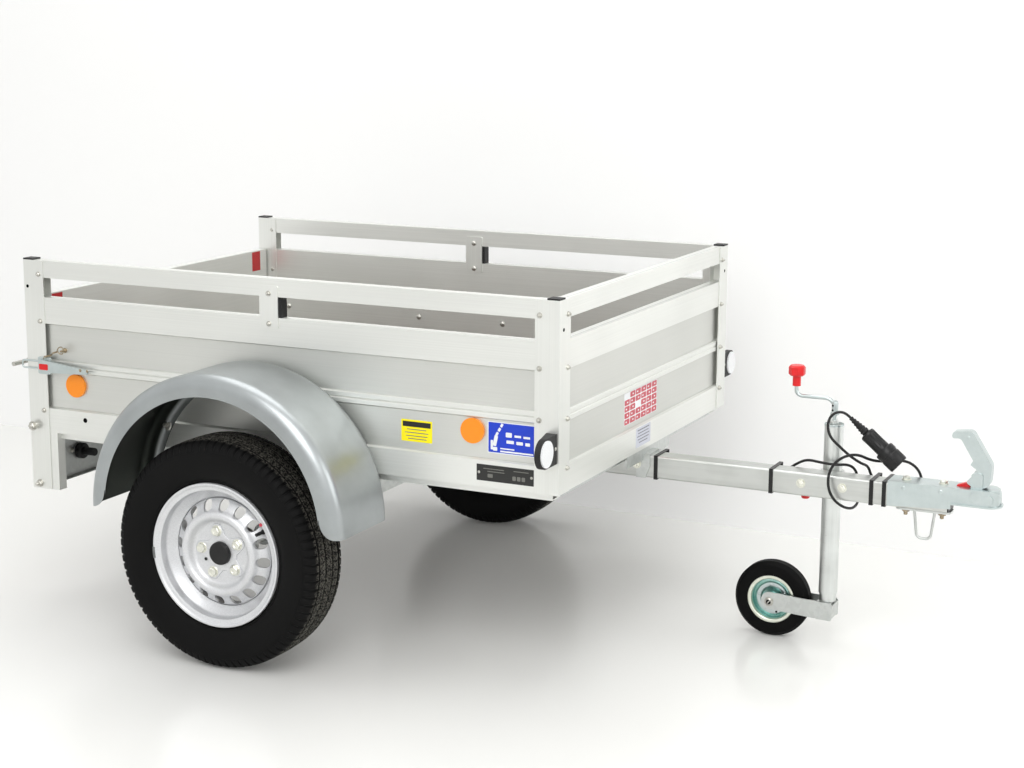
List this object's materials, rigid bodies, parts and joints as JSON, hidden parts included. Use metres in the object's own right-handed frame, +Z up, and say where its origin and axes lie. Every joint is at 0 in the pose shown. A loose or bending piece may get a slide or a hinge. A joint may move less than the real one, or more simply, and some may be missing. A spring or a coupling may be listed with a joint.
{
  "type": "utility trailer",
  "caption": "Single-axle utility trailer with ribbed aluminium drop sides, a raised rail, steel mudguards, a drawbar with ball coupling and a swivelling jockey wheel.",
  "frame": {"origin": "on the ground, under the middle of the trailer's whole length and width", "axes": "+X forward to the coupling, +Y to the left, +Z up"},
  "size_m": [2.513, 1.653, 0.95],
  "materials": {
    "board_aluminium": "satin anodised, fine lengthwise grain",
    "galvanised_steel": "hot-dip galvanised, faint spangle",
    "zinc_plated": "bright zinc plated",
    "black_plastic": "moulded, fine texture",
    "floor_board": "film-faced plywood",
    "lamp_lens": "clear coloured moulding",
    "amber_reflector": "prismatic moulding",
    "white_reflector": "prismatic moulding",
    "tyre_rubber": "moulded tread",
    "silver_rim": "silver lacquer",
    "hub_steel": "turned and zinc plated",
    "red_plastic": "moulded",
    "cable_sheath": "smooth flexible sheath",
    "solid_rubber": "moulded solid rubber"
  },
  "bodies": {
    "trailer": {"axle_beam": "galvanised_steel", "axle_saddles": "galvanised_steel", "cable_gland": "black_plastic", "cable_hanger": "zinc_plated", "cable_ties": "black_plastic", "chassis_rails": "galvanised_steel", "clamp_knob": "red_plastic", "coupling_body": "zinc_plated", "coupling_handle": "zinc_plated", "coupling_indicator": "red_plastic", "cross_members": "galvanised_steel", "drawbar": "galvanised_steel", "drawbar_bracket": "galvanised_steel", "floor_panel": "floor_board", "front_board": "board_aluminium", "front_marker_holders": "black_plastic", "front_markers": "white_reflector", "front_posts": "board_aluminium", "front_rail": "board_aluminium", "jockey_clamp": "zinc_plated", "mudguard_left": "galvanised_steel", "mudguard_right": "galvanised_steel", "plate_lamp": "black_plastic", "post_caps": "black_plastic", "rail_clamps": "board_aluminium", "rail_spacers": "black_plastic", "rear_amber_lenses": "amber_reflector", "rear_lamp_panel": "galvanised_steel", "rear_lamps": "black_plastic", "rear_posts": "board_aluminium", "rear_red_lenses": "lamp_lens", "rear_uprights": "board_aluminium", "side_board_left": "board_aluminium", "side_board_right": "board_aluminium", "side_rails": "board_aluminium", "side_reflectors": "amber_reflector", "swing_arm_left": "galvanised_steel", "swing_arm_right": "galvanised_steel", "tailgate_latches": "zinc_plated", "tow_cable": "cable_sheath", "tow_plug": "black_plastic"},
    "tailgate": {"tailgate_board": "board_aluminium", "tailgate_pins": "zinc_plated", "tailgate_strikes": "zinc_plated"},
    "wheel_right": {"tyre_right": "tyre_rubber", "rim_right": "silver_rim", "hub_right": "hub_steel", "hub_cap_right": "black_plastic"},
    "wheel_left": {"tyre_left": "tyre_rubber", "rim_left": "silver_rim", "hub_left": "hub_steel", "hub_cap_left": "black_plastic"},
    "jockey_mast": {"jockey_tube": "galvanised_steel", "jockey_crank": "zinc_plated", "jockey_knob": "red_plastic"},
    "jockey_inner": {"jockey_leg": "galvanised_steel"},
    "jockey_swivel": {"jockey_fork": "galvanised_steel"},
    "jockey_roller": {"jockey_tyre": "solid_rubber", "jockey_rim": "zinc_plated"}
  },
  "joints": [
    {"name": "tailgate_hinge", "type": "hinge", "parent": "trailer", "child": "tailgate", "pos_m": [-1.205, 0, 0.497], "axis": [0, -1, 0], "range_deg": [0, 110]},
    {"name": "wheel_right_spin", "type": "hinge", "parent": "trailer", "child": "wheel_right", "pos_m": [-0.478, -0.742, 0.289], "axis": [0, 1, 0], "continuous": true},
    {"name": "wheel_left_spin", "type": "hinge", "parent": "trailer", "child": "wheel_left", "pos_m": [-0.478, 0.742, 0.289], "axis": [0, 1, 0], "continuous": true},
    {"name": "jockey_raise", "type": "slide", "parent": "trailer", "child": "jockey_mast", "axis": [0, 0, 1], "range_m": [0, 0.11]},
    {"name": "jockey_wind", "type": "slide", "parent": "jockey_mast", "child": "jockey_inner", "axis": [0, 0, -1], "range_m": [0, 0.15]},
    {"name": "jockey_swivel", "type": "hinge", "parent": "jockey_inner", "child": "jockey_swivel", "pos_m": [0.815, 0.06, 0.08], "axis": [0, 0, 1], "continuous": true},
    {"name": "jockey_spin", "type": "hinge", "parent": "jockey_swivel", "child": "jockey_roller", "pos_m": [0.67, 0.06, 0.1], "axis": [0, 1, 0], "continuous": true}
  ]
}
